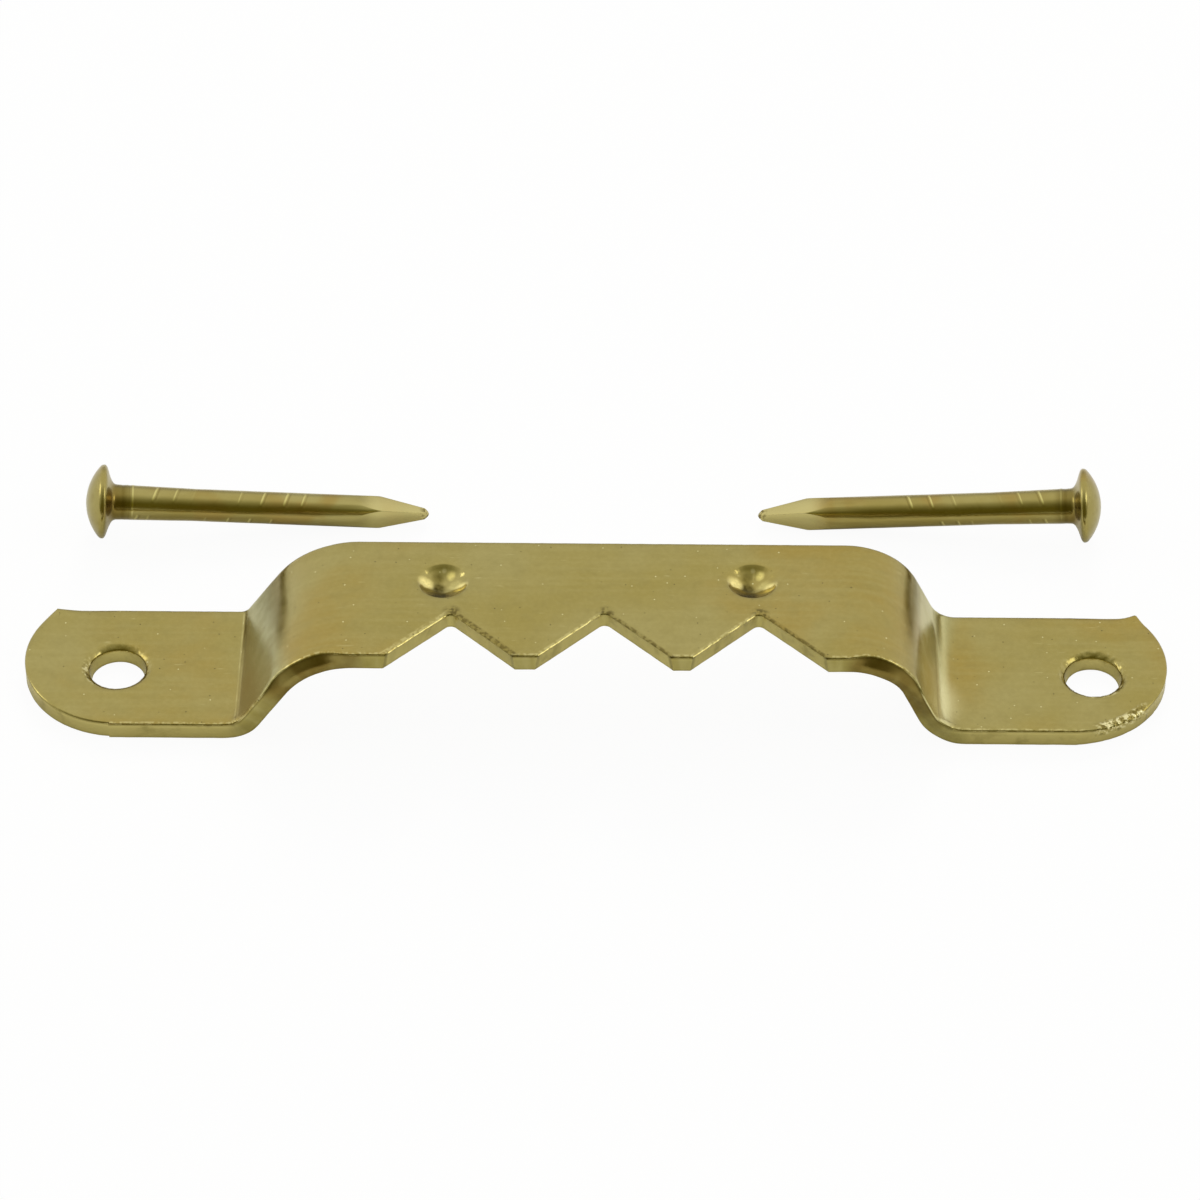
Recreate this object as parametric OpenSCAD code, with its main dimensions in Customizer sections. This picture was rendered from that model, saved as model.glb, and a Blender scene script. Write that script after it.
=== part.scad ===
// Sawtooth picture hanger with its two nails, lying ears down on a flat surface.
// The origin is midway between the two ear holes, on the face that the ears rest on.
// +X runs along the strip, +Y points away from the teeth and +Z points up.

/* [Strip] */
// Length of the strip from end to end, as bent
strip_length = 41.4; // [38:0.1:46]
// Width of the strip
strip_width = 6.1; // [5.5:0.1:8]
// Thickness of the sheet
strip_thickness = 0.7; // [0.5:0.05:0.9]

/* [Bends] */
// Height of the raised middle's underside above the ears' underside
rise = 3.45; // [3.2:0.05:4.5]
// Distance from the centre to the foot of the left riser
left_foot = 12.8; // [12:0.1:14]
// Distance from the centre to the foot of the right riser
right_foot = 11.7; // [11:0.1:13]
// Slope of the left riser in degrees
left_slope = 56; // [52:1:66]
// Slope of the right riser in degrees
right_slope = 65; // [56:1:68]
// Inside radius of the bend at the top of the left riser
left_shoulder_radius = 2.9; // [1.5:0.1:3]
// Inside radius of the bend at the top of the right riser
right_shoulder_radius = 2.1; // [1.5:0.1:2.3]
// Inside radius of the bend at the foot of the left riser
left_crease_radius = 0.4; // [0.2:0.1:0.6]
// Inside radius of the bend at the foot of the right riser
right_crease_radius = 0.6; // [0.2:0.1:0.7]

/* [Ears] */
// Distance of a nail hole's centre in from the strip's end, before the end cuts' shift
hole_inset = 3.05; // [2.6:0.05:3.6]
// Diameter of a nail hole
hole_diameter = 2; // [1.6:0.1:2.4]
// Radius of the rounded end of an ear
end_radius = 3.65; // [3.3:0.05:4.5]
// How far both end cuts lie to the left of the hole pair's centre
end_shift = 0.35; // [0:0.05:0.6]

/* [Teeth] */
// Number of notches that the picture can hang from
notch_count = 3; // [1:1:3]
// Distance between neighbouring notches
notch_pitch = 5.5; // [5:0.1:5.7]
// Depth of a notch from the strip's front edge
notch_depth = 2.25; // [1.6:0.05:2.4]
// Angle between the two sides of a notch
notch_angle = 90; // [80:1:92]
// Radius at the root of a notch
notch_root_radius = 0.25; // [0.1:0.05:0.4]

/* [Dimples] */
// Distance between the centres of the two pressed dimples
dimple_spacing = 11.1; // [8:0.1:13]
// Distance of the dimples behind the strip's centre line
dimple_offset = 1; // [0.5:0.1:1.5]
// How far the pair of dimples lies to the left of the hole pair's centre
dimple_shift = 0.27; // [0:0.01:0.5]
// Diameter of a dimple at the top face
dimple_diameter = 1.75; // [1.2:0.05:2]
// Depth of a dimple below the top face
dimple_depth = 0.4; // [0.2:0.05:0.5]
// Sheet left under the bottom of a dimple
dimple_web = 0.55; // [0.4:0.05:0.6]

/* [Nails] */
// Length of a nail from crown to point
nail_length = 12.8; // [11:0.1:15]
// Diameter of a nail's shank
nail_diameter = 1.2; // [1:0.05:1.4]
// Diameter of a nail's head
head_diameter = 2.76; // [2.5:0.02:3.2]
// Height of the domed top of the head
dome_height = 0.55; // [0.4:0.05:0.8]
// Thickness of the head's rim
rim_thickness = 0.12; // [0.08:0.01:0.2]
// Height of the taper from the head's rim down to the shank
neck_height = 0.22; // [0.15:0.01:0.3]
// Length of the four-sided point
point_length = 2.9; // [2.2:0.1:3.6]
// Width left across the blunt end of the point
tip_width = 0.26; // [0.2:0.02:0.4]

/* [Layout] */
// Gap between the strip's back edge and the left nail's head
left_nail_gap = 3.9; // [2:0.1:8]
// Gap between the strip's back edge and the right nail's head
right_nail_gap = 4.1; // [2:0.1:8]
// How far the left nail's head rim lies outside its ear hole
left_nail_outset = 1.1; // [-1:0.1:2]
// How far the right nail's head rim lies outside its ear hole
right_nail_outset = 0.05; // [-1:0.05:2]
// Turn of the left nail away from the strip, in degrees
left_nail_turn = 2.9; // [0:0.1:10]
// Turn of the right nail away from the strip, in degrees
right_nail_turn = 2.2; // [0:0.1:10]

/* [Hidden] */
$fn = 96;
// How far a cutting solid runs past the face that it opens
overrun = 0.5;

// Straight pieces in one drawn arc
arc_steps = 16;

// Ears: how far each end lies from the centre, and the centre of its curve, which is
// tangent to the front edge and meets the back edge in a corner
left_end = strip_length / 2 + end_shift;
right_end = strip_length / 2 - end_shift;
end_centre_y = end_radius - strip_width / 2;
back_corner_angle = asin((strip_width / 2 - end_centre_y) / end_radius);
hole_x = strip_length / 2 - hole_inset;

// Teeth: where the notches lie, the centre of a root's curve, and half of a notch's mouth
half_notch = notch_angle / 2;
root_centre_y = -strip_width / 2 + notch_depth - notch_root_radius;
straight_depth = notch_depth - notch_root_radius * (1 - sin(half_notch));
half_mouth = notch_root_radius * cos(half_notch) + straight_depth * tan(half_notch);
notch_places = [
    for (i = [0 : notch_count - 1]) (i - (notch_count - 1) / 2) * notch_pitch
];

// Dimples: the sphere whose cap is the recess, centred above the top face
middle_top = rise + strip_thickness;
dimple_sphere = (pow(dimple_diameter / 2, 2) + pow(dimple_depth, 2)) / (2 * dimple_depth);
dimple_centre_z = middle_top + dimple_sphere - dimple_depth;

// Nails: the sphere whose cap is the dome, and the lengths below the head's rim
head_radius = head_diameter / 2;
shank_radius = nail_diameter / 2;
dome_sphere = (pow(head_radius, 2) + pow(dome_height, 2)) / (2 * dome_height);
shank_length = nail_length - dome_height - rim_thickness;
point_start = shank_length - point_length;
facet_slope = atan((shank_radius - tip_width / 2) / point_length);
// A nail at rest lies on its rim and on the shank just before the point
nail_tilt = atan((head_radius - shank_radius) / point_start);

// The flat top of the raised middle, as far as one riser's shoulder bend
function shoulder_x(foot, slope, radius) = foot - rise / tan(slope) - radius * tan(slope / 2);

// The flat ear starts where the bend at the riser's foot ends
function ear_x(foot, slope, radius) = foot + (radius + strip_thickness) * tan(slope / 2);

// Points along an arc, from one angle to another
function arc(centre, radius, from, to) = [
    for (i = [0 : arc_steps])
        let (angle = from + (to - from) * i / arc_steps)
            centre + radius * [cos(angle), sin(angle)]
];

// A list of points, mirrored to the left half and taken from the last to the first
function to_left(points) = [
    for (i = [len(points) - 1 : -1 : 0]) [-points[i][0], points[i][1]]
];

// A list of points taken from the last to the first
function reversed(points) = [for (i = [len(points) - 1 : -1 : 0]) points[i]];

// One face of the strip seen from the front, from the middle out past the ear's end:
// the underside where lift is 0 and the top where lift is the sheet's thickness
function face_line(foot, slope, shoulder_radius, crease_radius, end_x, lift) = concat(
    arc([shoulder_x(foot, slope, shoulder_radius), rise - shoulder_radius],
        shoulder_radius + lift, 90, 90 - slope),
    arc([ear_x(foot, slope, crease_radius), strip_thickness + crease_radius],
        crease_radius + strip_thickness - lift, -90 - slope, -90),
    [[end_x + overrun, lift]]
);
function left_line(lift) = face_line(
    left_foot, left_slope, left_shoulder_radius, left_crease_radius, left_end, lift);
function right_line(lift) = face_line(
    right_foot, right_slope, right_shoulder_radius, right_crease_radius, right_end, lift);

// The rounded end of an ear in plan, from the front edge round to the corner at the back
function end_curve(end_x) =
    arc([end_x - end_radius, end_centre_y], end_radius, -90, back_corner_angle);

// One notch in plan, from its left corner round the root to its right corner
function notch_points(x) = concat(
    [[x - half_mouth, -strip_width / 2]],
    arc([x, root_centre_y], notch_root_radius, 180 - half_notch, half_notch),
    [[x + half_mouth, -strip_width / 2]]
);

// The bent strip's thickness seen from the front, run past both ends
module bend_profile() {
    polygon(concat(
        to_left(left_line(0)),
        right_line(0),
        reversed(right_line(strip_thickness)),
        reversed(to_left(left_line(strip_thickness)))
    ));
}

// The strip seen from above: rounded ends and a toothed front edge
module blank_outline() {
    polygon(concat(
        to_left(end_curve(left_end)),
        [for (x = notch_places, point = notch_points(x)) point],
        end_curve(right_end)
    ));
}

// The bent strip with its teeth, before its holes and dimples
module bent_strip() {
    intersection() {
        translate([0, strip_width, 0])
            rotate([90, 0, 0])
                linear_extrude(2 * strip_width)
                    bend_profile();
        translate([0, 0, -overrun])
            linear_extrude(middle_top + 2 * overrun)
                blank_outline();
    }
}

// The boss that a dimple pushes out of the underside
module dimple_boss() {
    intersection() {
        translate([0, 0, dimple_centre_z])
            sphere(dimple_sphere + dimple_web);
        translate([0, 0, rise - dimple_sphere])
            cylinder(r = dimple_diameter, h = dimple_sphere + strip_thickness / 2);
    }
}

// The recess that a dimple leaves in the top face
module dimple_recess() {
    translate([0, 0, dimple_centre_z])
        sphere(dimple_sphere);
}

// Both places of a dimple
module at_dimples() {
    for (side = [-1, 1])
        translate([side * dimple_spacing / 2 - dimple_shift, dimple_offset, 0])
            children();
}

// A round nail hole through each ear
module ear_holes() {
    for (side = [-1, 1])
        translate([side * hole_x, 0, -overrun])
            cylinder(d = hole_diameter, h = strip_thickness + 2 * overrun);
}

// The stamped plate: ears, risers, toothed middle and dimples in one piece of sheet
module hanger_plate() {
    color("darkkhaki")
        difference() {
            union() {
                bent_strip();
                at_dimples() dimple_boss();
            }
            ear_holes();
            at_dimples() dimple_recess();
        }
}

// Domed head with a thin rim and a taper to the shank, above and below z = 0
module nail_head() {
    intersection() {
        translate([0, 0, dome_sphere - dome_height - rim_thickness])
            sphere(dome_sphere);
        translate([0, 0, -dome_height - rim_thickness])
            cylinder(r = head_radius, h = dome_height);
    }
    translate([0, 0, -rim_thickness])
        cylinder(r = head_radius, h = rim_thickness);
    cylinder(r1 = head_radius - rim_thickness, r2 = shank_radius, h = neck_height);
}

// Round shank from the head's rim to a blunt four-sided point
module nail_shank() {
    difference() {
        cylinder(r = shank_radius, h = shank_length);
        for (quarter = [0 : 3])
            rotate([0, 0, 90 * quarter])
                translate([shank_radius, -nail_diameter, point_start])
                    rotate([0, -facet_slope, 0])
                        cube([nail_diameter, 2 * nail_diameter, 2 * point_length]);
    }
}

// One nail at rest on the left, with its point towards +X
module resting_nail(head_x, gap, turn) {
    translate([head_x, strip_width / 2 + gap + head_radius, head_radius * cos(nail_tilt)])
        rotate([0, 0, turn])
            rotate([0, 90 + nail_tilt, 0]) {
                nail_head();
                nail_shank();
            }
}

module left_nail() {
    color("goldenrod")
        resting_nail(-hole_x - left_nail_outset, left_nail_gap, left_nail_turn);
}

module right_nail() {
    color("goldenrod")
        mirror([1, 0, 0])
            resting_nail(-hole_x - right_nail_outset, right_nail_gap, right_nail_turn);
}

hanger_plate();
left_nail();
right_nail();
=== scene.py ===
import bmesh
import bpy
import math
from mathutils import Matrix, Vector, noise


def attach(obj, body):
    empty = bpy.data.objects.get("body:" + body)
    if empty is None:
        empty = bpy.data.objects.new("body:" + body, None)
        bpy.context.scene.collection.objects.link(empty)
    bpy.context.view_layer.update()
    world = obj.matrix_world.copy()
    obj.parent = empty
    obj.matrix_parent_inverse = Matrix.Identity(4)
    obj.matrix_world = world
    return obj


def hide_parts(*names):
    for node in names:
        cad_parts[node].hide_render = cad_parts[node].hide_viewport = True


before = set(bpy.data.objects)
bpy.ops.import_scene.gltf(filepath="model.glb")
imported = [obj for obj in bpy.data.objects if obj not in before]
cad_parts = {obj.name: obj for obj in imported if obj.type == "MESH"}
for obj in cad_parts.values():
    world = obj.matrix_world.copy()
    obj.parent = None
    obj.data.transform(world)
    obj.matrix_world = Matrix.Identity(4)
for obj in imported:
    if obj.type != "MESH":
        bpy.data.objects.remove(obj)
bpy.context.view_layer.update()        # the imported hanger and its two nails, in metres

# Everything is modelled in millimetres and brought to metres at the end of each piece
mm = 0.001


def toLinear(code):
    # an sRGB hex colour as Blender's linear colour
    parts = [int(code[i:i + 2], 16) / 255 for i in (1, 3, 5)]
    return tuple(c / 12.92 if c <= 0.04045 else ((c + 0.055) / 1.055) ** 2.4
                 for c in parts) + (1,)


# Small helpers for working on one piece by hand

def deselectAll():
    if bpy.context.object and bpy.context.object.mode != "OBJECT":
        bpy.ops.object.mode_set(mode="OBJECT")
    bpy.ops.object.select_all(action="DESELECT")


def choose(piece):
    deselectAll()
    bpy.context.view_layer.objects.active = piece
    piece.select_set(True)


def edit(piece, mode="FACE"):
    choose(piece)
    bpy.ops.object.mode_set(mode="EDIT")
    bpy.ops.mesh.select_mode(type=mode)
    bpy.ops.mesh.select_all(action="DESELECT")


def pick(piece, kind, test):
    # selects the faces, edges or points of the piece in hand that pass the test
    bpy.ops.mesh.select_mode(type={"faces": "FACE", "edges": "EDGE", "verts": "VERT"}[kind])
    bpy.ops.mesh.select_all(action="DESELECT")
    form = bmesh.from_edit_mesh(piece.data)
    form.normal_update()
    found = [part for part in getattr(form, kind) if test(part)]
    for part in found:
        part.select_set(True)
    bmesh.update_edit_mesh(piece.data)


def named(name):
    piece = bpy.context.object
    piece.name = name
    piece.data.name = name
    return piece


def cutWith(piece, tool):
    choose(piece)
    cut = piece.modifiers.new("Cut", "BOOLEAN")
    cut.operation, cut.object, cut.solver = "DIFFERENCE", tool, "EXACT"
    bpy.ops.object.modifier_apply(modifier=cut.name)
    bpy.data.objects.remove(tool)


def applyPlace(piece):
    choose(piece)
    bpy.ops.object.transform_apply(location=True, rotation=True, scale=True)


def slices(piece, places, axis):
    # straight cuts through the whole piece, as supports for bends and for wear
    edit(piece)
    for place in places:
        bpy.ops.mesh.select_all(action="SELECT")
        bpy.ops.mesh.bisect(plane_co=axis * place, plane_no=axis, threshold=1e-5)


def steps(start, end, count):
    return [start + (end - start) * i / count for i in range(count + 1)]


# Materials: one small function adds a node with its settings and links

def add(tree, kind, links=(), **settings):
    node = tree.nodes.new("ShaderNode" + kind)
    for key, value in settings.items():
        if hasattr(node, key):
            setattr(node, key, value)
        else:
            node.inputs[key.replace("_", " ")].default_value = value
    for socket, source in dict(links).items():
        tree.links.new(source, node.inputs[socket])
    return node


def newMaterial(name):
    material = bpy.data.materials.new(name)
    material.use_nodes = True
    material.node_tree.nodes.clear()
    return material, material.node_tree


def blend(tree, share, low, high):
    # one colour over another; each is a hex colour or another node's output
    node = add(tree, "MixRGB", {"Fac": share})
    for socket, colour in (("Color1", low), ("Color2", high)):
        if isinstance(colour, str):
            node.inputs[socket].default_value = toLinear(colour)
        else:
            tree.links.new(colour, node.inputs[socket])
    return node.outputs["Color"]


def ramp(tree, source, low, high, a=0.0, b=1.0):
    # a soft step from low to high while the source goes from a to b
    return add(tree, "MapRange", {"Value": source}, interpolation_type="SMOOTHSTEP",
               From_Min=a, From_Max=b, To_Min=low, To_Max=high).outputs["Result"]


def maths(tree, operation, *values):
    # a Math node; each value is a number or another node's output
    node = add(tree, "Math", operation=operation)
    for socket, value in zip(node.inputs, values):
        if isinstance(value, (int, float)):
            socket.default_value = value
        else:
            tree.links.new(value, socket)
    return node.outputs[0]


def times(tree, one, other):
    return maths(tree, "MULTIPLY", one, other)


def pattern(tree, place, scale, detail, **settings):
    return add(tree, "TexNoise", {"Vector": place}, Scale=scale, Detail=detail,
               **settings).outputs["Fac"]


def mapped(tree, place, **settings):
    return add(tree, "Mapping", {"Vector": place}, **settings).outputs["Vector"]


def distance(tree, place, x, y):
    node = add(tree, "VectorMath", {0: place}, operation="DISTANCE")
    node.inputs[1].default_value = (x, y, 0)
    return node.outputs["Value"]


def pinSpecks(tree, place, perMm, size, pickFrom):
    # small round spots on a few cells of a scatter
    cells = add(tree, "TexVoronoi", {"Vector": place}, voronoi_dimensions="2D", Scale=perMm)
    lot = add(tree, "SeparateColor", {"Color": cells.outputs["Color"]}).outputs["Red"]
    spot = ramp(tree, cells.outputs["Distance"], 1, 0, size * perMm * 0.6, size * perMm)
    return times(tree, spot, ramp(tree, lot, 0, 1, pickFrom, pickFrom + 0.02))


def crumbsAndGlints(tree, colour, torn, crumbs, light, dark):
    # torn metal is full of dark crumbs, with painted bright glints among them
    colour = blend(tree, times(tree, torn, ramp(tree, crumbs, 0, 0.9, *light)), colour, "#F0E6B0")
    return blend(tree, times(tree, torn, ramp(tree, crumbs, 0.8, 0, *dark)), colour, "#6B5C28")


def platedSheet():
    # brass plate over cold-rolled strip: olive gold, satin, softly clouded, with specks and pits
    material, tree = newMaterial("brassPlatedSheet")
    flat = add(tree, "Attribute", attribute_name="blank").outputs["Vector"]
    x, y, z = add(tree, "SeparateXYZ", {"Vector": flat}).outputs
    level = add(tree, "CombineXYZ", {"X": x, "Y": y}).outputs[0]
    length = maths(tree, "ABSOLUTE", x)
    shifted = mapped(tree, flat, Location=(31, 7, 3))
    cloud = pattern(tree, flat, 0.22, 3)
    warm = pattern(tree, shifted, 0.16, 4)
    mottle = pattern(tree, shifted, 1.6, 5)
    streak = pattern(tree, mapped(tree, flat, Scale=(0.16, 4, 4)), 1.0, 3)
    grain = pattern(tree, flat, 6, 3)

    colour = blend(tree, ramp(tree, cloud, 0, 1, 0.3, 0.7), "#A0914F", "#A69A5F")
    colour = blend(tree, ramp(tree, warm, 0, 0.8, 0.42, 0.64), colour, "#A38C45")
    colour = blend(tree, ramp(tree, mottle, 0, 0.28, 0.45, 0.75), colour, "#978A50")
    colour = blend(tree, ramp(tree, streak, 0, 0.24, 0.4, 0.75), colour, "#B0A468")

    # painted pale reflection bands on the risers, most of all on the right one
    away = maths(tree, "MULTIPLY_ADD", y, -0.24, length)
    away = maths(tree, "ABSOLUTE", maths(tree, "SUBTRACT", away, 12.8))
    riserReflection = times(tree, ramp(tree, away, 0.75, 0, 0.25, 1.3), ramp(tree, mottle, 1, 0.7, 0.3, 0.7))
    colour = blend(tree, riserReflection, colour, "#B6B482")
    # a painted sheen across the right riser, and a painted highlight low on it
    bright = times(tree, ramp(tree, x, 0, 0.7, 11.4, 12.0), ramp(tree, x, 1, 0, 13.6, 14.1))
    colour = blend(tree, bright, colour, "#D0C78C")
    shine = ramp(tree, distance(tree, level, 12.8, -1.7), 0.6, 0, 0.5, 2.0)
    colour = blend(tree, shine, colour, "#ECE4AE")

    # a painted highlight lies as a faint light line along each crease, with a painted shade line beside it
    seam = add(tree, "MapRange", {"Value": maths(tree, "SIGN", x)}, From_Min=-1, From_Max=1,
               To_Min=leftBend["u3"] - 0.3, To_Max=rightBend["u2"] + 0.35).outputs["Result"]
    seam = maths(tree, "SUBTRACT", length, seam)
    line = times(tree, ramp(tree, maths(tree, "ABSOLUTE", seam), 0.4, 0, 0.01, 0.08),
                 ramp(tree, mottle, 1, 0.3, 0.35, 0.6))
    colour = blend(tree, line, colour, "#D2C88E")
    beside = maths(tree, "ABSOLUTE", maths(tree, "ADD", seam, 0.14))
    colour = blend(tree, ramp(tree, beside, 0.22, 0, 0.02, 0.09), colour, "#6F622F")

    # lighter in a broken line along the front edge, stained where the punch left the notches' roots
    frontEdgeLight = times(tree, ramp(tree, y, 0.45, 0, -2.98, -2.89), ramp(tree, grain, 0, 1, 0.42, 0.58))
    colour = blend(tree, frontEdgeLight, colour, "#D8CD93")
    halfPitch = plate["notches"][-1][0] / 2
    across = maths(tree, "WRAP", x, halfPitch, -halfPitch)
    root = add(tree, "CombineXYZ", {"X": across, "Y": y}).outputs[0]
    stain = times(tree, ramp(tree, distance(tree, root, 0.03, -0.74), 0.85, 0, 0.12, 0.42),
                  ramp(tree, grain, 0.1, 1, 0.4, 0.60))
    middle = ramp(tree, length, 1, 0, 8.0, 8.3)
    colour = blend(tree, times(tree, stain, middle), colour, "#54481F")
    # along each notch the right flank's top edge gets a dark broken line, partly burr and partly painted
    # dark reflection, and the left one a painted light glint
    for operation, sign, share, tint in (("ADD", 1, 0.8, "#5E5020"), ("SUBTRACT", -1, 0.5, "#D6CA8A")):
        flank = ramp(tree, maths(tree, operation, y, across), share, 0, -0.60, -0.46)
        flank = times(tree, flank, ramp(tree, grain, 0.25, 1, 0.42, 0.58))
        flank = times(tree, flank, ramp(tree, across, 0, 1, 0.05 * sign, 0.25 * sign))
        colour = blend(tree, times(tree, flank, middle), colour, tint)

    # the parting punch tore the right ear's front corner, and the round punch the rims of both holes
    torn = times(tree, ramp(tree, distance(tree, level, flatPlace(16.69), plate["endY"]), 0, 1, 3.30, 3.46),
                 ramp(tree, distance(tree, level, *tornSpot), 1, 0, 0.7, 1.3))
    for at, share, worstX, worstY, rest, near in (
            (plate["holeAt"], 1, 18.1, -1.15, 0.10, 0.5), (-plate["holeAt"], 0.6, -18.65, -0.35, 0.12, 0.4)):
        rim = ramp(tree, distance(tree, level, flatPlace(at), 0), share, 0, 1.20, 1.34)
        worst = ramp(tree, distance(tree, level, flatPlace(worstX), worstY), 1, rest, near, 1.0)
        torn = maths(tree, "MAXIMUM", torn, times(tree, rim, worst))
    torn = times(tree, torn, ramp(tree, z, 0, 1, 0.30, 0.45))
    crumbs = pattern(tree, flat, 6.5, 3, Roughness=0.6)
    # dark crumbs and painted glints on the torn metal
    colour = crumbsAndGlints(tree, colour, torn, crumbs, (0.51, 0.57), (0.39, 0.46))

    # fine grain, a few short pale scuffs from tumbling among other parts, then pits and sparks
    colour = blend(tree, ramp(tree, grain, 0.05, 0, 0.36, 0.5), colour, "#7C6F38")
    colour = blend(tree, ramp(tree, grain, 0, 0.05, 0.5, 0.64), colour, "#C6BB80")
    scuffed = mapped(tree, flat, Location=(5, 3, 0), Rotation=(0, 0, 0.5), Scale=(1.1, 6, 6))
    scuff = pattern(tree, scuffed, 1.0, 4)
    colour = blend(tree, ramp(tree, scuff, 0, 0.3, 0.685, 0.76), colour, "#D2C88E")
    pits = times(tree, pinSpecks(tree, shifted, 1.1, 0.030, 0.6), ramp(tree, mottle, 0.4, 1, 0.4, 0.6))
    colour = blend(tree, pits, colour, "#5A4F2A")
    sparks = times(tree, pinSpecks(tree, flat, 0.9, 0.032, 0.55), ramp(tree, mottle, 1, 0.5, 0.4, 0.6))
    colour = blend(tree, sparks, colour, "#DDD4A0")

    # inside each dimple both sides are painted bright as highlights, and painted shade runs down the middle
    # each spot: its place from the dimple's centre, where it starts to fade and ends, share and colour
    pressed = maths(tree, "MINIMUM", *[distance(tree, level, *centre) for centre in plate["dimples"]])
    pressed = ramp(tree, pressed, 1, 0, 0.90, 1.05)
    for dx, dy, inner, outer, share, tint in (
            (-0.20, 0.42, 0.06, 0.30, 0.75, "#5E5218"), (-0.18, 0.0, 0.12, 0.34, 1.0, "#4A4010"),
            (-0.08, -0.44, 0.12, 0.36, 0.9, "#4E4410"), (0.42, 0.05, 0.10, 0.34, 0.6, "#D8CB80"),
            (-0.62, 0.08, 0.10, 0.36, 0.95, "#FCEA98"), (0.64, -0.16, 0.10, 0.32, 1.0, "#FAE996"),
            (0.27, 0.52, 0.04, 0.22, 0.9, "#F6E48C"), (0.02, 0.72, 0.03, 0.12, 0.5, "#D8CDA0")):
        spot = maths(tree, "MAXIMUM", *[ramp(tree, distance(tree, level, cx + dx, cy + dy), share, 0,
                                             inner, outer) for cx, cy in plate["dimples"]])
        spot = times(tree, spot, ramp(tree, grain, 0.75, 1, 0.4, 0.6))
        colour = blend(tree, times(tree, spot, pressed), colour, tint)

    roughness = ramp(tree, mottle, 0.19, 0.27, 0.3, 0.7)
    roughness = add(tree, "Mix", {"Factor": pressed, "A": roughness}, B=0.14).outputs["Result"]
    fine = add(tree, "Bump", {"Height": mottle}, Strength=0.04, Distance=0.0001)
    soft = add(tree, "Bump", {"Height": pattern(tree, flat, 0.55, 2), "Normal": fine.outputs["Normal"]},
               Strength=0.10, Distance=0.0002)
    chipped = add(tree, "Bump", {"Height": times(tree, torn, crumbs), "Normal": soft.outputs["Normal"]},
                  Strength=0.7, Distance=0.00006)
    shader = add(tree, "BsdfPrincipled", {"Base Color": colour, "Roughness": roughness,
                                          "Normal": chipped.outputs["Normal"]}, Metallic=1.0)
    add(tree, "OutputMaterial", {"Surface": shader.outputs["BSDF"]})
    return material


def shearedEdge():
    # the punched edge under the same plating: duller and browner, faintly lined from top to bottom
    material, tree = newMaterial("brassPlatedCutEdge")
    flat = add(tree, "Attribute", attribute_name="blank").outputs["Vector"]
    x, y, z = add(tree, "SeparateXYZ", {"Vector": flat}).outputs
    length = maths(tree, "ABSOLUTE", x)
    tear = pattern(tree, mapped(tree, flat, Scale=(2.2, 2.2, 0.5)), 1.0, 4)
    blotch = pattern(tree, flat, 1.3, 4)
    colour = blend(tree, ramp(tree, tear, 0, 1, 0.35, 0.7), "#ADA05C", "#BBB070")
    # painted paler reflection on the notches' flanks and the ears, painted brown shade round the two
    # shoulders
    flank = times(tree, ramp(tree, length, 1, 0, 8.0, 8.3), ramp(tree, y, 0, 1, -3.0, -2.9))
    colour = blend(tree, times(tree, flank, ramp(tree, tear, 0.9, 0.6, 0.35, 0.7)), colour, "#E2D488")
    colour = blend(tree, ramp(tree, length, 0, 0.85, 14.3, 15.0), colour, "#CDBF7A")
    colour = blend(tree, ramp(tree, blotch, 0, 0.5, 0.5, 0.75), colour, "#8A7C40")
    shoulderShade = times(tree, ramp(tree, length, 0, 1, 8.3, 9.0), ramp(tree, length, 1, 0, 12.2, 13.2))
    colour = blend(tree, times(tree, shoulderShade, ramp(tree, blotch, 0.7, 1, 0.35, 0.65)), colour, "#7F6D36")
    # a painted dark reflection line under the rolled edge, weaker on the flanks, and dark along the bottom
    line = times(tree, ramp(tree, z, 0, 0.7, 0.52, 0.62), ramp(tree, flank, 1, 0.35))
    colour = blend(tree, line, colour, "#5E5124")
    colour = blend(tree, ramp(tree, z, 0.25, 0, 0.03, 0.12), colour, "#6B5E2E")
    torn = times(tree, ramp(tree, distance(tree, flat, *tornSpot), 1, 0, 0.9, 1.5),
                 ramp(tree, z, 0, 1, 0.25, 0.45))
    crumbs = pattern(tree, flat, 6.5, 3, Roughness=0.6)
    # dark crumbs and painted glints on the torn metal
    colour = crumbsAndGlints(tree, colour, torn, crumbs, (0.52, 0.60), (0.36, 0.44))
    rough = add(tree, "Bump", {"Height": tear}, Strength=0.15, Distance=0.00008)
    shader = add(tree, "BsdfPrincipled", {"Base Color": colour, "Normal": rough.outputs["Normal"]},
                 Metallic=1.0, Roughness=0.3)
    add(tree, "OutputMaterial", {"Surface": shader.outputs["BSDF"]})
    return material


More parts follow.
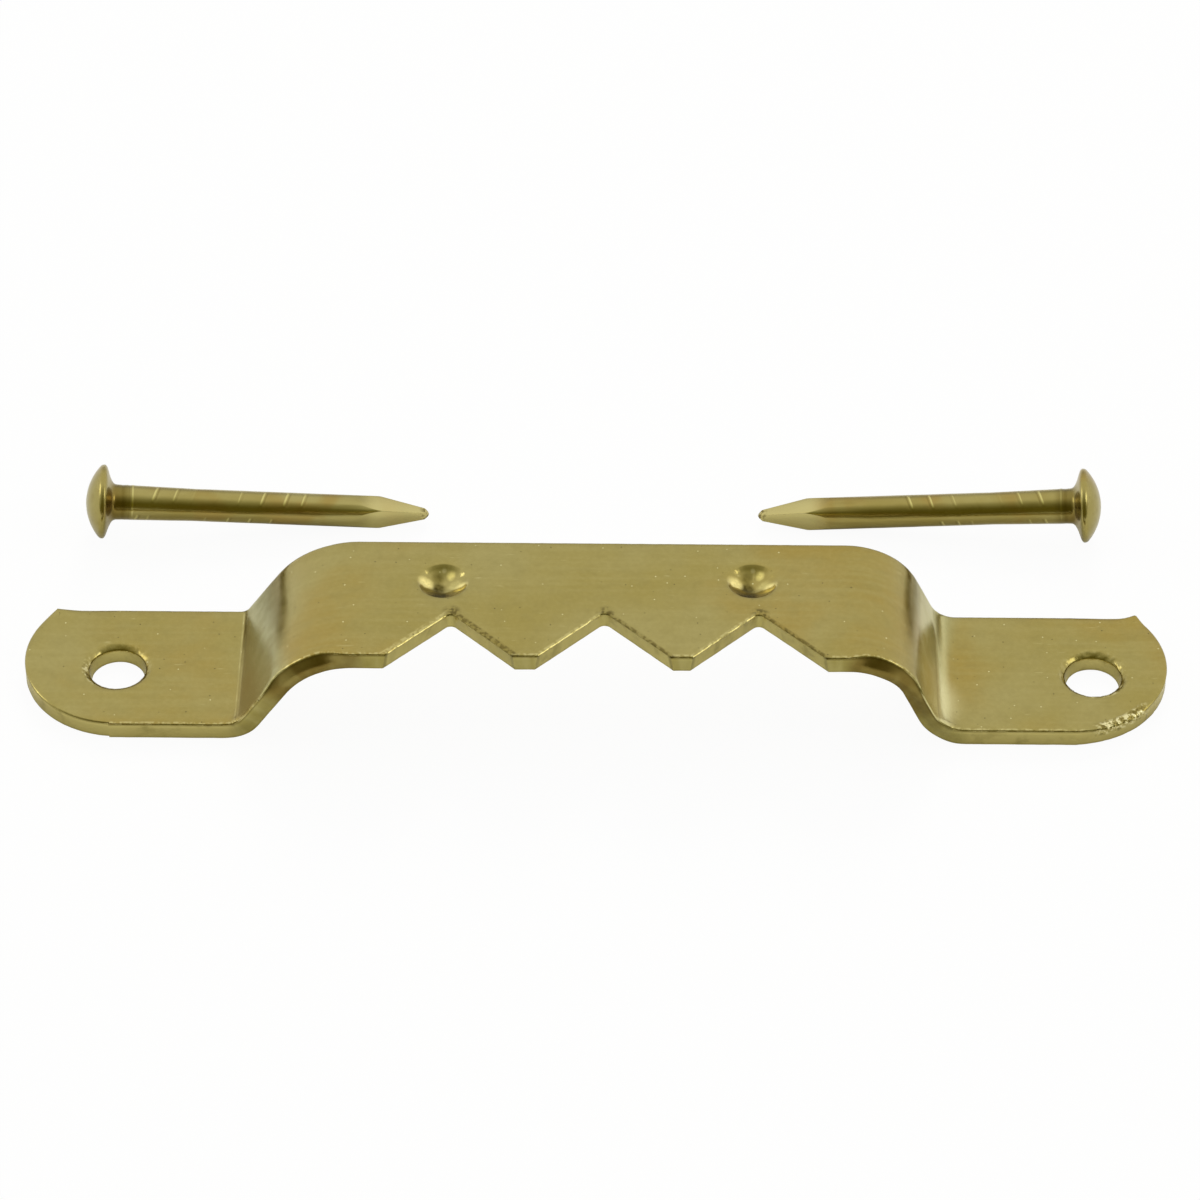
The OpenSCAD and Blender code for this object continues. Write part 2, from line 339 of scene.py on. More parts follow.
def platedWire():
    # brass plate over drawn steel wire: smoother than the sheet, drawn lines along the shank
    material, tree = newMaterial("brassPlatedWire")
    place = add(tree, "TexCoord").outputs["Object"]
    cloud = pattern(tree, place, 450, 4)
    warm = pattern(tree, place, 700, 2, Roughness=0.4)
    line = pattern(tree, mapped(tree, place, Scale=(300, 4200, 4200)), 1.0, 3)
    colour = blend(tree, ramp(tree, cloud, 0, 1, 0.3, 0.7), "#9D8E4E", "#AA9E62")
    colour = blend(tree, ramp(tree, warm, 0, 0.7, 0.5, 0.68), colour, "#A08746")
    colour = blend(tree, ramp(tree, line, 0, 0.4, 0.5, 0.75), colour, "#8B7C40")
    # painted highlights on the ridges and painted shade in the grooves where the dies gripped the shank
    mark = add(tree, "Attribute", attribute_name="mark").outputs["Fac"]
    colour = blend(tree, ramp(tree, mark, 0, 0.75, 0.15, 0.8), colour, "#D9CE84")
    colour = blend(tree, ramp(tree, mark, 0.5, 0, -0.6, -0.1), colour, "#7A6A30")
    # painted paler on the pinched point, painted shade by the head, with dark crumbs left on the tip
    along = add(tree, "Attribute", attribute_name="along").outputs["Fac"]
    colour = blend(tree, ramp(tree, along, 0, 0.6, 9.3, 10.2), colour, "#D6CA8A")
    neck = times(tree, ramp(tree, along, 0, 0.6, 0.15, 0.40), ramp(tree, along, 1, 0, 0.75, 1.15))
    colour = blend(tree, neck, colour, "#6E5D26")
    crumbs = pattern(tree, place, 8000, 2)
    tip = times(tree, ramp(tree, along, 0, 0.8, 11.7, 12.0), ramp(tree, crumbs, 0, 1, 0.45, 0.6))
    colour = blend(tree, tip, colour, "#5A4B20")
    fine = add(tree, "Bump", {"Height": cloud}, Strength=0.1, Distance=0.00006)
    shader = add(tree, "BsdfPrincipled", {"Base Color": colour, "Normal": fine.outputs["Normal"]},
                 Metallic=1.0, Roughness=0.22)
    add(tree, "OutputMaterial", {"Surface": shader.outputs["BSDF"]})
    return material


# Strip: the sheet as a flat blank, cut and pressed, then bent to the hanger's profile
plate = dict(
    width=6.1, sheet=0.7, rise=3.45, holeAt=17.65,
    leftEnd=21.05, rightEnd=20.35,
    left=dict(foot=12.8, slope=56, shoulder=2.9, crease=0.4, pull=0.62, setBack=0),
    right=dict(foot=11.7, slope=65, shoulder=2.1, crease=1.0, pull=0.55, setBack=0.2),
    endY=0.6,                                      # both round ends are centred a little to the back
    leftCut=(3.60, 3.60), rightCut=(3.64, 3.64),   # an end's radius at the top and underneath
    leftStop=-17.75, rightStop=16.9,               # where the straight front edge gives way to them
    leftTurn=0, rightTurn=-0.73,                   # degrees, so that no short edge is left at a back corner
    holeTop=1.06, holeUnder=0.94,
    notches=((-5.5, 2.14), (0.0, 2.25), (5.5, 2.25)), notchRoot=0.25, notchFlare=0.07,   # x and depth
    roll=((0.03, 0.040), (0.04, 0.024), (0.05, 0.016), (0.06, 0.009), (0.08, 0.005)),
    under=((0.02, 0.015), (0.04, 0.005)),
    # what is kept of the roll on the long edges and on the ends, and the funnel round each hole
    crisp=dict(share=0.4, past=0.054, deeper=0.61), endKeeps=0.5, endReach=1.2,
    funnel=dict(start=1.037, reach=0.26, depth=0.15, curve=1.6),
    dimples=((-5.825, 0.935), (5.283, 1.048)), dimpleRim=1.28,
    bowl=((1.16, 0.003), (1.07, 0.010), (1.00, 0.024), (0.94, 0.048), (0.88, 0.083), (0.80, 0.132),
          (0.70, 0.197), (0.58, 0.272), (0.46, 0.338), (0.34, 0.388), (0.22, 0.42), (0.10, 0.435)),
    boss=((1.20, 0.003), (1.10, 0.015), (1.00, 0.04), (0.88, 0.09), (0.74, 0.15), (0.58, 0.20),
          (0.40, 0.235), (0.20, 0.25), (0.05, 0.255)),
    drawIn=0.25, drawBack=0.03, drawFrom=2.1,      # how far a bend pulls the stretched edge in
    creaseIn=0.06, bendFade=0.35,                  # the same under a crease, and how softly a bend begins
    creaseLift=0.07,                               # how far a crease pinches its front edge up
    cornerLift=((-20.09, 0.08, 0.03, 1.2), (19.33, 0.13, 0.08, 0.7)),  # x, up, back and reach
    tornAt=(18.6, -2.3),                           # the torn front corner of the right ear
    cutTop=0.62,                                   # the cut face ends here, under the rolled edge
    # unevenness: how deep the rolled edge goes, where tearing fades at the torn corner and round a hole,
    # the bottom of a dimple, and the rough tear round the right end
    wear=dict(roll=(0.002, 0.12), corner=(0.6, 1.3), rim=(1.25, 1.45), dimple=0.98,
              endFrom=17.3, endTo=0.6, holeClear=1.5),
    cuts=dict(length=260, shoulder=26, crease=12, across=(-2.6, 2.6, 13),
              height=(0.12, 0.24, 0.36, 0.48)),
)


def bendTable(side, sign):
    # lengths along the middle of the sheet, from the centre outwards
    t, slope = plate["sheet"], math.radians(side["slope"])
    top, inner = side["shoulder"] + t / 2, side["crease"] + t / 2
    start = side["foot"] - plate["rise"] / math.tan(slope) - side["shoulder"] * math.tan(slope / 2)
    ear = side["foot"] + (side["crease"] + t) * math.tan(slope / 2)
    x1, z1 = start + top * math.sin(slope), plate["rise"] - side["shoulder"] + top * math.cos(slope)
    x2, z2 = ear - inner * math.sin(slope), t + side["crease"] - inner * math.cos(slope)
    riser = math.hypot(x2 - x1, z2 - z1)
    u1 = start + top * slope
    u2 = u1 + riser
    u3 = u2 + inner * slope
    return dict(sign=sign, slope=slope, top=top, inner=inner, start=start, ear=ear,
                pull=side["pull"], setBack=side["setBack"],
                x1=x1, z1=z1, u1=u1, u2=u2, u3=u3,
                shoulderZ=plate["rise"] - side["shoulder"], creaseZ=t + side["crease"])


leftBend, rightBend = bendTable(plate["left"], -1), bendTable(plate["right"], 1)


def flatPlace(x):
    # where a place on an ear lies on the flat blank
    bend = rightBend if x > 0 else leftBend
    return bend["sign"] * (bend["u3"] + abs(x) - bend["ear"])


tornSpot = (flatPlace(plate["tornAt"][0]), plate["tornAt"][1])

print("finishes")
sheetFinish, edgeFinish, wireFinish = platedSheet(), shearedEdge(), platedWire()


def bent(point):
    # a point of the flat blank, carried to its place on the bent strip
    bend = rightBend if point.x > 0 else leftBend
    u, lift = abs(point.x), point.z - plate["sheet"] / 2
    if u <= bend["start"]:
        return Vector((point.x, point.y, point.z + plate["rise"]))
    if u <= bend["u1"]:
        turn = (u - bend["start"]) / bend["top"]
        x = bend["start"] + (bend["top"] + lift) * math.sin(turn)
        z = bend["shoulderZ"] + (bend["top"] + lift) * math.cos(turn)
    elif u <= bend["u2"]:
        along, turn = u - bend["u1"], bend["slope"]
        x = bend["x1"] + along * math.cos(turn) + lift * math.sin(turn)
        z = bend["z1"] - along * math.sin(turn) + lift * math.cos(turn)
    elif u <= bend["u3"]:
        turn = bend["slope"] - (u - bend["u2"]) / bend["inner"]
        x = bend["ear"] - (bend["inner"] - lift) * math.sin(turn)
        z = bend["creaseZ"] - (bend["inner"] - lift) * math.cos(turn)
    else:
        x, z = bend["ear"] + u - bend["u3"], point.z
    return Vector((bend["sign"] * x, point.y, z))


def flatBlank():
    low = sum(d for _, d in plate["under"])
    high = plate["sheet"] - sum(d for _, d in plate["roll"])
    middle, half = (low + high) / 2, plate["width"] / 2
    left, right = flatPlace(-plate["leftEnd"]) - 1, flatPlace(plate["rightEnd"]) + 1
    deselectAll()
    bpy.ops.mesh.primitive_cube_add(size=1, location=((left + right) / 2, 0, middle),
                                    scale=(right - left, 2 * half, high - low))
    blank = named("hangerStrip")
    applyPlace(blank)
    for side, sign in (("left", -1), ("right", 1)):
        cut = plate[side + "Cut"]
        centre = flatPlace(sign * (plate[side + "End"] - max(cut)))
        cutEnd(blank, flatPlace(plate[side + "Stop"]), centre, cut, sign, plate[side + "Turn"])
    for x in (-plate["holeAt"], plate["holeAt"]):
        deselectAll()
        bpy.ops.mesh.primitive_cone_add(
            vertices=96, radius1=plate["holeUnder"], radius2=plate["holeTop"],
            depth=1.2 * plate["sheet"], location=(flatPlace(x), 0, plate["sheet"] / 2))
        cutWith(blank, named("punch"))
    for x, depth in plate["notches"]:
        cutNotch(blank, x, depth)
    for x, y in plate["dimples"]:
        deselectAll()
        bpy.ops.mesh.primitive_cylinder_add(vertices=72, radius=plate["dimpleRim"], depth=4,
                                            location=(x, y, 0))
        cutWith(blank, named("punch"))
    return blank


def cutEnd(blank, stop, centre, cut, sign, turn):
    # the parting punch: a block with a round hollow, which leaves a rounded end
    t = plate["sheet"]
    deselectAll()
    bpy.ops.mesh.primitive_cone_add(vertices=192, radius1=cut[1], radius2=cut[0], depth=2 * t,
                                    location=(centre, plate["endY"], t / 2),
                                    rotation=(0, 0, math.radians(turn)))
    hollow = named("hollow")
    deselectAll()
    bpy.ops.mesh.primitive_cube_add(size=1, location=(stop + sign * 5, 0, t / 2),
                                    scale=(10, 9, 1.6 * t))
    punch = named("punch")
    applyPlace(punch)
    cutWith(punch, hollow)
    cutWith(blank, punch)


def cutNotch(blank, x, depth):
    # a square punch on its corner, its root edge rounded, wider underneath
    side, over, t = 3.6, 0.1, plate["sheet"]
    corner = -plate["width"] / 2 + depth + plate["notchRoot"] * (math.sqrt(2) - 1)
    deselectAll()
    bpy.ops.mesh.primitive_cube_add(size=1, rotation=(0, 0, math.pi / 4),
                                    scale=(side, side, t + 2 * over))
    punch = named("punch")
    applyPlace(punch)
    edit(punch)
    pick(punch, "edges", lambda e: all(v.co.y > side / 2 for v in e.verts))
    bpy.ops.mesh.bevel(offset=plate["notchRoot"], segments=8, profile=0.5, affect="EDGES")
    for low, reach in ((True, t + over), (False, -over)):
        pick(punch, "verts", lambda v: (v.co.z < 0) == low)
        grow = 1 + plate["notchFlare"] * reach / t / (side / 2)
        bpy.ops.transform.resize(value=(grow, grow, 1), center_override=(0, 0, 0))
    deselectAll()
    punch.location = (x, corner - side / math.sqrt(2), t / 2)
    cutWith(blank, punch)


def nearDimple(point, reach=plate["dimpleRim"] + 0.01):
    return any(math.hypot(point.x - x, point.y - y) < reach for x, y in plate["dimples"])


def rollEdges(blank):
    # the punch rolls the top edges over, so each ring is set in and raised a little less
    edit(blank)
    pick(blank, "faces", lambda f: abs(f.normal.z) < 0.5 and nearDimple(f.calc_center_median()))
    bpy.ops.mesh.delete(type="FACE")
    bpy.ops.mesh.select_all(action="SELECT")
    bpy.ops.mesh.remove_doubles(threshold=0.02)
    bpy.ops.mesh.dissolve_limited(angle_limit=math.radians(0.2))
    for facing, rings in ((1, plate["roll"]), (-1, plate["under"])):
        pick(blank, "faces", lambda f: f.normal.z * facing > 0.99)
        for inset, rise in rings:
            bpy.ops.mesh.inset(thickness=inset, depth=rise, use_boundary=False,
                               use_even_offset=True)


def pressDimples(blank):
    # each open ring is carried inwards and down, then closed
    edit(blank, "EDGE")
    for x, y in plate["dimples"]:
        for top, rings in ((True, plate["bowl"]), (False, plate["boss"])):
            level = plate["sheet"] if top else 0
            pick(blank, "edges", lambda e: e.is_boundary and all(
                nearDimple(v.co) and abs(v.co.z - level) < 0.02 and abs(v.co.x - x) < 2
                for v in e.verts))
            radius, depth = plate["dimpleRim"], 0
            for nextRadius, nextDepth in rings:
                bpy.ops.mesh.extrude_region_move(
                    TRANSFORM_OT_translate={"value": (0, 0, depth - nextDepth)})
                k = nextRadius / radius
                bpy.ops.transform.resize(value=(k, k, 1), center_override=(x, y, 0))
                radius, depth = nextRadius, nextDepth
            bpy.ops.mesh.merge(type="CENTER")


def smooth(a, b, x):
    x = min(1, max(0, (x - a) / (b - a)))
    return x * x * (3 - 2 * x)


def bendWeight(u, start, end, middle=0.5, flat=1.0):
    # 0 outside a bend and 1 at its middle, with soft ends
    centre, half = start + (end - start) * middle, (end - start) / 2 + plate["bendFade"]
    return smooth(0, flat, 1 - min(1, abs(u - centre) / half))


def nearHole(point):
    return min(math.hypot(point.x - flatPlace(x), point.y) for x in (-plate["holeAt"], plate["holeAt"]))


def rolledDepth(point, drop):
    # the ends and the holes keep their deep soft roll, the long edges and teeth are crisper
    kept, funnel, reach = plate["crisp"], plate["funnel"], plate["endReach"]
    far = nearHole(point) - funnel["start"]
    if far < funnel["reach"]:
        return max(drop, funnel["depth"] * (1 - max(0, far) / funnel["reach"]) ** funnel["curve"])
    crisp = kept["share"] * drop + kept["deeper"] * max(0, drop - kept["past"])
    onEnd = max(smooth(0, reach, point.x - flatPlace(plate["rightStop"])),
                smooth(0, reach, flatPlace(plate["leftStop"]) - point.x))
    return crisp + (drop - crisp) * plate["endKeeps"] * onEnd


def worn(point, normal):
    # the small irregularities of stamping, always into the metal
    wear, drop = plate["wear"], plate["sheet"] - point.z
    grain = noise.noise(Vector((point.x * 7, point.y * 7, point.z * 5 + 9)))
    least, most = wear["roll"]
    if drop < most:                              # the rolled edge
        if drop > least:
            torn = 1 - smooth(*wear["corner"], math.hypot(point.x - tornSpot[0], point.y - tornSpot[1]))
            ragged = (1 - smooth(*wear["rim"], nearHole(point))) * (1 if point.x > 0 else 0.5)
            deep = rolledDepth(point, drop)
            deep += (0.5 * torn + 0.25 * ragged) * drop
            deep += abs(grain) * (0.010 + 0.09 * torn + 0.035 * ragged) * min(1, drop / 0.012)
            point = Vector((point.x, point.y, plate["sheet"] - deep))
        return point
    if nearDimple(point, wear["dimple"]):        # the bottom of a dimple
        point.z += 0.018 * noise.noise(Vector((point.x * 2.3, point.y * 2.3, 5)))
        return point
    if abs(normal.z) < 0.98:                     # a cut face
        streak = noise.noise(Vector((point.x * 1.7, point.y * 1.7, point.z * 0.8)))
        depth = 0.004 + 0.006 * streak + 0.003 * grain
        if (point.x > flatPlace(wear["endFrom"]) and point.y < wear["endTo"]
                and nearHole(point) > wear["holeClear"]):
            depth += 0.006 + 0.012 * abs(grain)  # the rough tear round the right end
        point = point - normal * max(0, depth)
    return point


def keepFlat(blank):
    # the pattern of the metal follows the flat sheet, so its coordinates stay with the mesh
    flat = blank.data.attributes.new("blank", "FLOAT_VECTOR", "POINT")
    for v in blank.data.vertices:
        flat.data[v.index].vector = v.co
    for face in blank.data.polygons:
        cut = abs(face.normal.z) < 0.5 and face.center.z < plate["cutTop"]
        face.material_index = 1 if cut else 0


def shapeStrip(blank):
    normals = [v.normal.copy() for v in blank.data.vertices]
    for v, normal in zip(blank.data.vertices, normals):
        p = worn(v.co.copy(), normal)
        bend = rightBend if p.x > 0 else leftBend
        u, height = abs(p.x), p.z / plate["sheet"]
        # a bend draws its stretched edge in, at the shoulder above and at the crease below
        edge = smooth(plate["drawFrom"], plate["width"] / 2, abs(p.y))
        pull = bendWeight(u, bend["start"], bend["u1"], bend["pull"], 0.6) * smooth(0.3, 0.95, height)
        reach = plate["drawIn"] if p.y < 0 else plate["drawBack"]
        p.y -= math.copysign(reach * edge * pull, p.y)
        crease = bendWeight(u, bend["u2"], bend["u3"])
        under = crease * (1 - smooth(0.2, 0.8, height))
        p.y -= math.copysign(plate["creaseIn"] * edge * under, p.y)
        if p.y < 0:
            low = smooth(bend["start"] + 1, bend["u1"], u) * (1 - smooth(bend["u2"] - 0.3, bend["u3"], u))
            p.y += bend["setBack"] * edge * low * (1 - smooth(0.1, 0.9, height))
        if p.z > 0.5:
            p.z += plate["creaseLift"] * crease * smooth(-2.5, -2.95, p.y)
        q = bent(p)
        # the back corners are flicked up by the parting punch
        for x, up, back, far in plate["cornerLift"]:
            if q.x * x > 0:
                off = math.hypot(q.x - x, 1.6 * (q.y - plate["width"] / 2)) / far
                q += Vector((0, back, up)) * max(0, 1 - off) ** 2
        v.co = q


def buildStrip():
    print("strip: flat blank")
    blank = flatBlank()
    print("strip: edges")
    rollEdges(blank)
    print("strip: cuts")
    cuts = plate["cuts"]
    places = steps(flatPlace(-plate["leftEnd"]), flatPlace(plate["rightEnd"]), cuts["length"])
    for bend in (leftBend, rightBend):
        curved = ((bend["start"], bend["u1"], cuts["shoulder"]), (bend["u2"], bend["u3"], cuts["crease"]))
        places = [x for x in places if not any(a < x * bend["sign"] < b for a, b, _ in curved)]
        for a, b, count in curved:
            places += [bend["sign"] * u for u in steps(a, b, count)]
    slices(blank, places[1:], Vector((1, 0, 0)))
    slices(blank, steps(*cuts["across"]), Vector((0, 1, 0)))
    slices(blank, cuts["height"], Vector((0, 0, 1)))
    print("strip: dimples")
    pressDimples(blank)
    deselectAll()
    blank.data.materials.append(sheetFinish)
    blank.data.materials.append(edgeFinish)
    keepFlat(blank)
    print("strip: bends and wear")
    shapeStrip(blank)
    return blank


strip = buildStrip()
print("strip: faces", len(strip.data.polygons))


# Nails: turned up from the crown's middle along one axis, then pinched to a point
nail = dict(
    sides=64, head=1.38, crown=-0.67, dome=2.006, shank=0.6, shankFrom=3.4,
    pointFrom=9.23, pointTo=12.13, tip=0.13,
    crownRings=(0.1, 0.22, 0.36, 0.50, 0.64, 0.78, 0.91, 1.03, 1.13, 1.21, 1.28),
    rim=((1.33, -0.165), (1.365, -0.115), (1.38, -0.06), (1.376, -0.01), (1.35, 0.035),
         (1.29, 0.075), (1.19, 0.115), (1.06, 0.155), (0.93, 0.20), (0.82, 0.25), (0.74, 0.30),
         (0.69, 0.35), (0.662, 0.42), (0.655, 0.52)),
    pinch=0.03, sharp=12,                          # the point's edges are rounded, from this angle on
    blunt=((48, 0.13, 0.151), (28, 0.045, 0.075)), corner=1.12,   # slope, place from the tip, half width
    cuts=(0.45, 7.9, 240),
    gripHeight=0.016, gripWidth=0.042, gripLean=0.28, uneven=0.004,
    spans=dict(upper=(12, 36), lower=(108, 16)),   # a row's middle and half width, in degrees
    left=dict(node="left_nail", side=-1, out=18.75, gap=3.9, turn=2.9,
              rings=(0.86, 1.05),
              upper=(1.88, 2.64, 3.31, 4.18, 5.04, 5.89, 6.75, 7.4),
              lower=(1.2, 1.62, 2.35, 3.05, 3.75, 4.6, 5.4, 6.2)),
    right=dict(node="right_nail", side=1, out=17.70, gap=4.095, turn=2.2,
               rings=(0.8,),
               upper=(1.55, 2.32, 3.05, 3.9, 4.77, 5.63, 6.4),
               lower=(1.36, 1.95, 2.6, 2.96, 4.1, 4.6, 5.2)),
)
tilt = math.atan((nail["head"] - nail["shank"]) / nail["pointFrom"])   # it lies on its rim and point


def turnedNail():
    # crown, dome, rim and neck as one growing stack of rings, then the plain shank
    radius, *wider = nail["crownRings"]
    deselectAll()
    bpy.ops.mesh.primitive_circle_add(vertices=nail["sides"], radius=radius, fill_type="TRIFAN",
                                      location=(0, 0, nail["crown"]))
    piece = named("nail")
    applyPlace(piece)
    edit(piece, "EDGE")
    pick(piece, "edges", lambda e: e.is_boundary)
    height, sphere = nail["crown"], nail["dome"]
    domed = [(r, nail["crown"] + sphere - math.sqrt(sphere ** 2 - r ** 2)) for r in wider]
    for nextRadius, nextHeight in (*domed, *nail["rim"], (nail["shank"], nail["shankFrom"]),
                                   (nail["shank"], nail["pointTo"])):
        bpy.ops.mesh.extrude_region_move(
            TRANSFORM_OT_translate={"value": (0, 0, nextHeight - height)})
        k = nextRadius / radius
        bpy.ops.transform.resize(value=(k, k, 1), center_override=(0, 0, 0))
        radius, height = nextRadius, nextHeight
    bpy.ops.mesh.edge_face_add()
    bpy.ops.mesh.select_all(action="SELECT")
    bpy.ops.mesh.normals_make_consistent(inside=False)
    return piece


def pinchPoint(piece):
    # four flats, and a narrow rounding where they meet the shank and each other
    lean = math.atan((nail["shank"] - nail["tip"]) / (nail["pointTo"] - nail["pointFrom"]))
    edit(piece)
    for quarter in range(4):
        turn = quarter * math.pi / 2
        out = Vector((math.cos(turn), math.sin(turn), 0))
        bpy.ops.mesh.select_all(action="SELECT")
        bpy.ops.mesh.bisect(plane_co=out * nail["shank"] + Vector((0, 0, nail["pointFrom"])),
                            plane_no=out * math.cos(lean) + Vector((0, 0, math.sin(lean))),
                            clear_outer=True, use_fill=True)
    pick(piece, "edges", lambda e: len(e.link_faces) == 2
         and e.calc_face_angle() > math.radians(nail["sharp"])
         and min(v.co.z for v in e.verts) > nail["pointFrom"] + 0.3)
    bpy.ops.mesh.bevel(offset=nail["pinch"], segments=2, profile=0.5, affect="EDGES")
    for steep, back, half in nail["blunt"]:
        lean = math.radians(steep)
        for eighth in range(8):
            turn = eighth * math.pi / 4
            out = Vector((math.cos(turn), math.sin(turn), 0))
            bpy.ops.mesh.select_all(action="SELECT")
            bpy.ops.mesh.bisect(plane_co=out * half * (nail["corner"] if eighth % 2 else 1)
                                + Vector((0, 0, nail["pointTo"] - back)),
                                plane_no=out * math.sin(lean) + Vector((0, 0, math.cos(lean))),
                                clear_outer=True, use_fill=True)


def gripped(point, marks):
    # the raised lines that the gripping dies leave, and the faint unevenness of drawn wire
    radius = math.hypot(point.x, point.y)
    if not 0.3 < point.z < nail["pointFrom"] or radius < 0.5:
        return point, 0
    angle = math.degrees(math.atan2(-point.y, -point.x))      # 0 on top, 90 towards the camera
    rise = nail["uneven"] * noise.noise(Vector((point.x, point.y, point.z * 0.6)) * 3)
    mark, width = 0, nail["gripWidth"]
    for place in marks["rings"]:
        ridge = math.exp(-((point.z - place) / width) ** 2)
        groove = math.exp(-((point.z - place + 0.17) / 0.07) ** 2)
        mark += 0.8 * ridge * (1 - smooth(60, 100, abs(angle - 25)))
        mark -= 0.7 * groove * (1 - smooth(70, 120, abs(angle - 45)))
    for row, (middle, span) in nail["spans"].items():
        reach = 1 - abs(angle - middle) / span
        if reach <= 0:
            continue
        for i, place in enumerate(marks[row]):
            along = point.z - place + nail["gripLean"] * math.radians(angle - middle) * radius
            high = 0.62 + 0.38 * math.sin(7.3 * i + 2)        # no two ridges are equally high
            mark += high * min(1, 3 * reach) * (
                math.exp(-(along / width) ** 2) - 0.6 * math.exp(-((along - 0.10) / width) ** 2))
    rise += nail["gripHeight"] * mark
    return Vector((point.x, point.y, 0)) * (1 + rise / radius) + Vector((0, 0, point.z)), mark


def buildNail(marks):
    piece = turnedNail()
    slices(piece, steps(*nail["cuts"]), Vector((0, 0, 1)))
    pinchPoint(piece)
    deselectAll()
    along = piece.data.attributes.new("along", "FLOAT", "POINT")
    mark = piece.data.attributes.new("mark", "FLOAT", "POINT")
    for v in piece.data.vertices:
        along.data[v.index].value = v.co.z
        v.co, mark.data[v.index].value = gripped(v.co, marks)
    side, head = marks["side"], nail["head"]
    place = Matrix.Translation((side * marks["out"], plate["width"] / 2 + marks["gap"] + head,
                                head * math.cos(tilt)))
    lie = Matrix.Rotation(math.radians(marks["turn"]), 4, "Z") @ Matrix.Rotation(
        math.pi / 2 + tilt, 4, "Y")
    mirror = Matrix.Diagonal((-side, 1, 1, 1))
    piece.data.transform(place @ mirror @ lie)
    edit(piece)
    bpy.ops.mesh.select_all(action="SELECT")
    bpy.ops.mesh.normals_make_consistent(inside=False)
    deselectAll()
    return piece


def finishPiece(piece, name, node, body, angle):
    # to metres, smooth but for the hard edges, then handed to its body
    edit(piece)
    bpy.ops.mesh.select_all(action="SELECT")
    bpy.ops.transform.resize(value=(mm, mm, mm), center_override=(0, 0, 0))
    choose(piece)
    bpy.ops.object.shade_smooth_by_angle(angle=math.radians(angle))
    piece.name = piece.data.name = name
    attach(piece, body)
    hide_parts(node)


finishPiece(strip, "stampedStrip", "hanger_plate", "plate", 40)

for marks, name in ((nail["left"], "leftNail"), (nail["right"], "rightNail")):
    print("nail:", name)
    piece = buildNail(marks)
    finishPiece(piece, name, marks["node"], marks["node"], 30)
    piece.data.materials.append(wireFinish)


# Studio: a pale floor, soft plain light from behind and above, and a dim room on the camera's side
studio = dict(
    floor="#F8F8F7", under=0.00002,                # just clear of the ears, so that no faces coincide
    inView=0.95, inMetal=0.12,                     # the floor's share of plain white
    daylight=0.88,                                 # the room's strength for all but the metal's reflections
    # the room from the camera's side, overhead and to the back: place along Y, colour
    room=((0.06, "#756E2C"), (0.128, "#78743D"), (0.192, "#8E8B60"), (0.273, "#A9A889"), (0.362, "#C4C4AE"),
          (0.456, "#E5E5DB"), (0.561, "#FFFFFC"), (0.872, "#FFFFFF"), (0.946, "#EDEDEB"), (1.0, "#CCCCCA")),
    lamps=(("softRight", (0.50, -0.06, 0.32), 0.24, 0.34), ("softLeft", (-0.52, 0.10, 0.24), 0.20, 0.26)),
    key=("keyBack", (0.06, 0.56, 0.38), 0.25, 1.8),
    eye=(-0.2139, 2.8962, 1.5), away=200, turn=0.6562, height=41.7374, roll=-0.0143,
    focal=5483.5, pixels=1200, sensor=36)


def inMirror(tree, path):
    # rays that come by way of the metal
    return maths(tree, "MAXIMUM", path.outputs["Is Glossy Ray"], path.outputs["Is Transmission Ray"])


def buildFloor():
    deselectAll()
    bpy.ops.mesh.primitive_grid_add(size=3, x_subdivisions=4, y_subdivisions=4,
                                    location=(0, 0, -studio["under"]))
    floor = named("floor")
    material, tree = newMaterial("paleFloor")
    lit = add(tree, "BsdfDiffuse", Color=toLinear(studio["floor"]))
    white = add(tree, "Emission", Strength=1.0)
    path = add(tree, "LightPath")
    straight = times(tree, path.outputs["Is Camera Ray"], studio["inView"])
    share = maths(tree, "MULTIPLY_ADD", inMirror(tree, path), studio["inMetal"], straight)
    mix = add(tree, "MixShader", {"Fac": share, 1: lit.outputs[0], 2: white.outputs[0]})
    add(tree, "OutputMaterial", {"Surface": mix.outputs[0]})
    floor.data.materials.append(material)


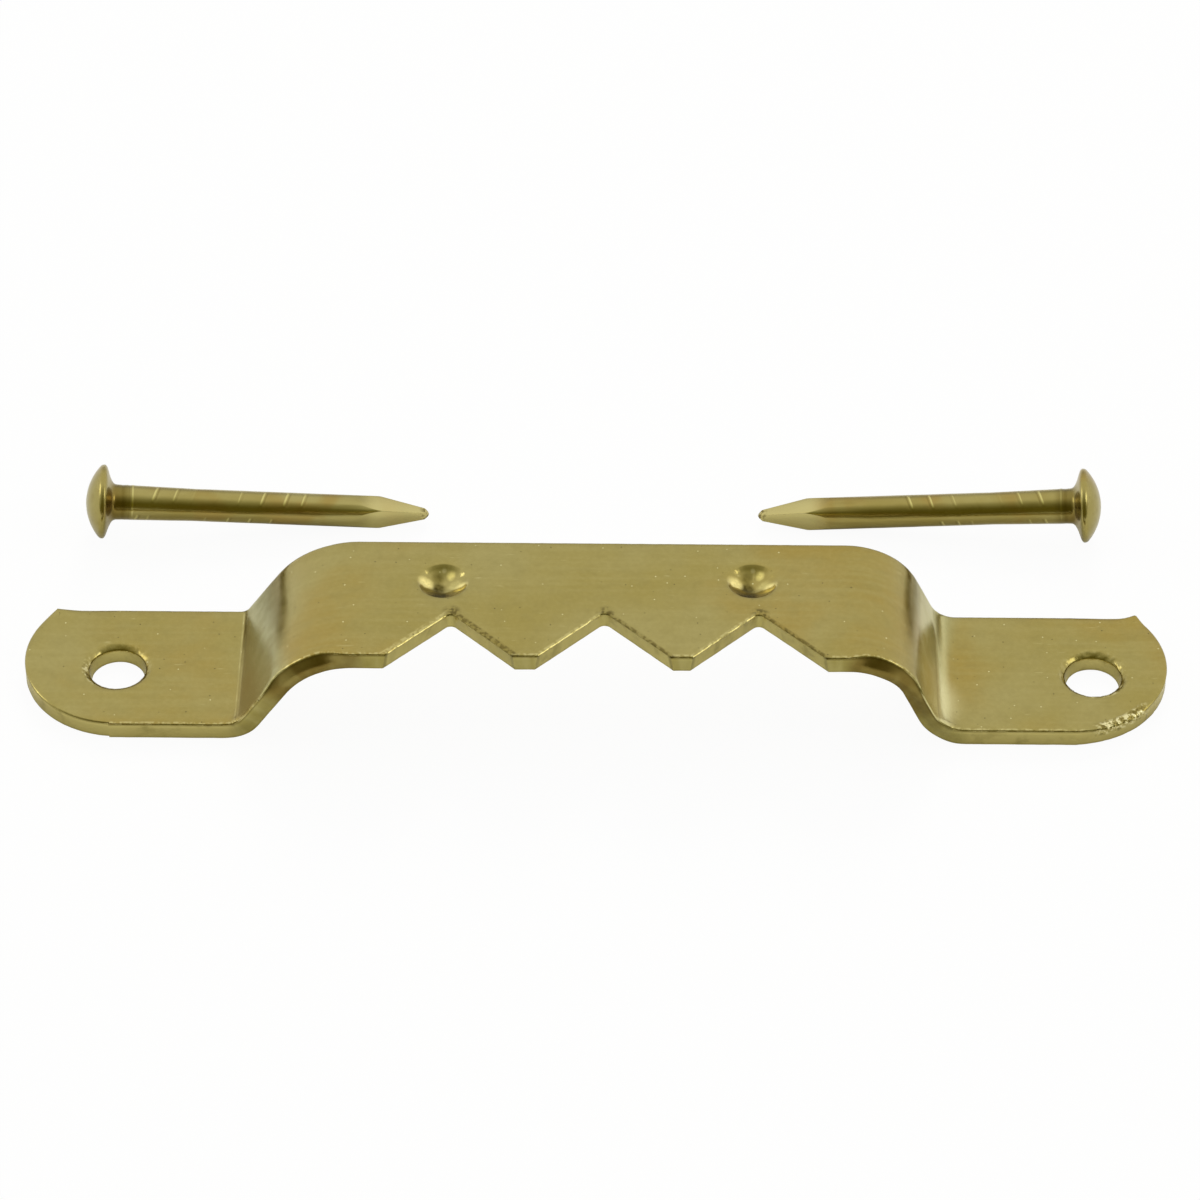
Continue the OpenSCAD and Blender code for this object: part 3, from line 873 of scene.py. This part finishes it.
def buildWorld():
    world = bpy.data.worlds.new("plainStudio")
    bpy.context.scene.world = world
    world.use_nodes = True
    tree = world.node_tree
    tree.nodes.clear()
    path = add(tree, "LightPath")
    way = add(tree, "SeparateXYZ", {"Vector": add(tree, "TexCoord").outputs["Generated"]}).outputs["Y"]
    way = add(tree, "MapRange", {"Value": way}, From_Min=-1, From_Max=1, To_Min=0, To_Max=1)
    room = add(tree, "ValToRGB", {"Fac": way.outputs["Result"]})
    stops = room.color_ramp.elements
    while len(stops) < len(studio["room"]):
        stops.new(0.5)
    for stop, (place, colour) in zip(stops, studio["room"]):
        stop.position, stop.color = place, toLinear(colour)
    light = add(tree, "Background", {"Color": room.outputs["Color"]}, Strength=studio["daylight"])
    metal = add(tree, "Background", {"Color": room.outputs["Color"]}, Strength=1.0)
    white = add(tree, "Background", Color=(1, 1, 1, 1), Strength=1.0)
    lit = add(tree, "MixShader", {"Fac": inMirror(tree, path), 1: light.outputs[0], 2: metal.outputs[0]})
    mix = add(tree, "MixShader", {"Fac": path.outputs["Is Camera Ray"],
                                  1: lit.outputs[0], 2: white.outputs[0]})
    add(tree, "OutputWorld", {"Surface": mix.outputs[0]})


def buildStudio():
    buildFloor()
    buildWorld()
    for name, place, size, power in (*studio["lamps"], studio["key"]):
        deselectAll()
        bpy.ops.object.light_add(type="AREA", location=place)
        lamp = bpy.context.object
        lamp.name = name
        lamp.visible_camera = False
        lamp.visible_glossy = name != studio["key"][0]     # it lights the floor and casts the shadow
        lamp.data.size, lamp.data.energy = size, power
        lamp.rotation_euler = (-Vector(place)).to_track_quat("-Z", "Y").to_euler()

    turn, height = math.radians(studio["turn"]), math.radians(studio["height"])
    back = Vector((math.sin(turn) * math.cos(height), -math.cos(turn) * math.cos(height),
                   math.sin(height)))
    deselectAll()
    bpy.ops.object.camera_add(location=(Vector(studio["eye"]) + back * studio["away"]) * mm)
    camera = bpy.context.object
    camera.name = "camera"
    camera.data.sensor_width = studio["sensor"]
    camera.data.lens = studio["focal"] * studio["sensor"] / studio["pixels"]
    camera.data.clip_start, camera.data.clip_end = 0.01, 10
    look = back.to_track_quat("Z", "Y")
    camera.rotation_mode = "QUATERNION"
    camera.rotation_quaternion = look
    camera.rotation_quaternion = look @ Matrix.Rotation(
        math.radians(-studio["roll"]), 4, "Z").to_quaternion()
    bpy.context.scene.camera = camera
    bpy.context.scene.view_settings.view_transform = "Standard"


print("studio")
buildStudio()
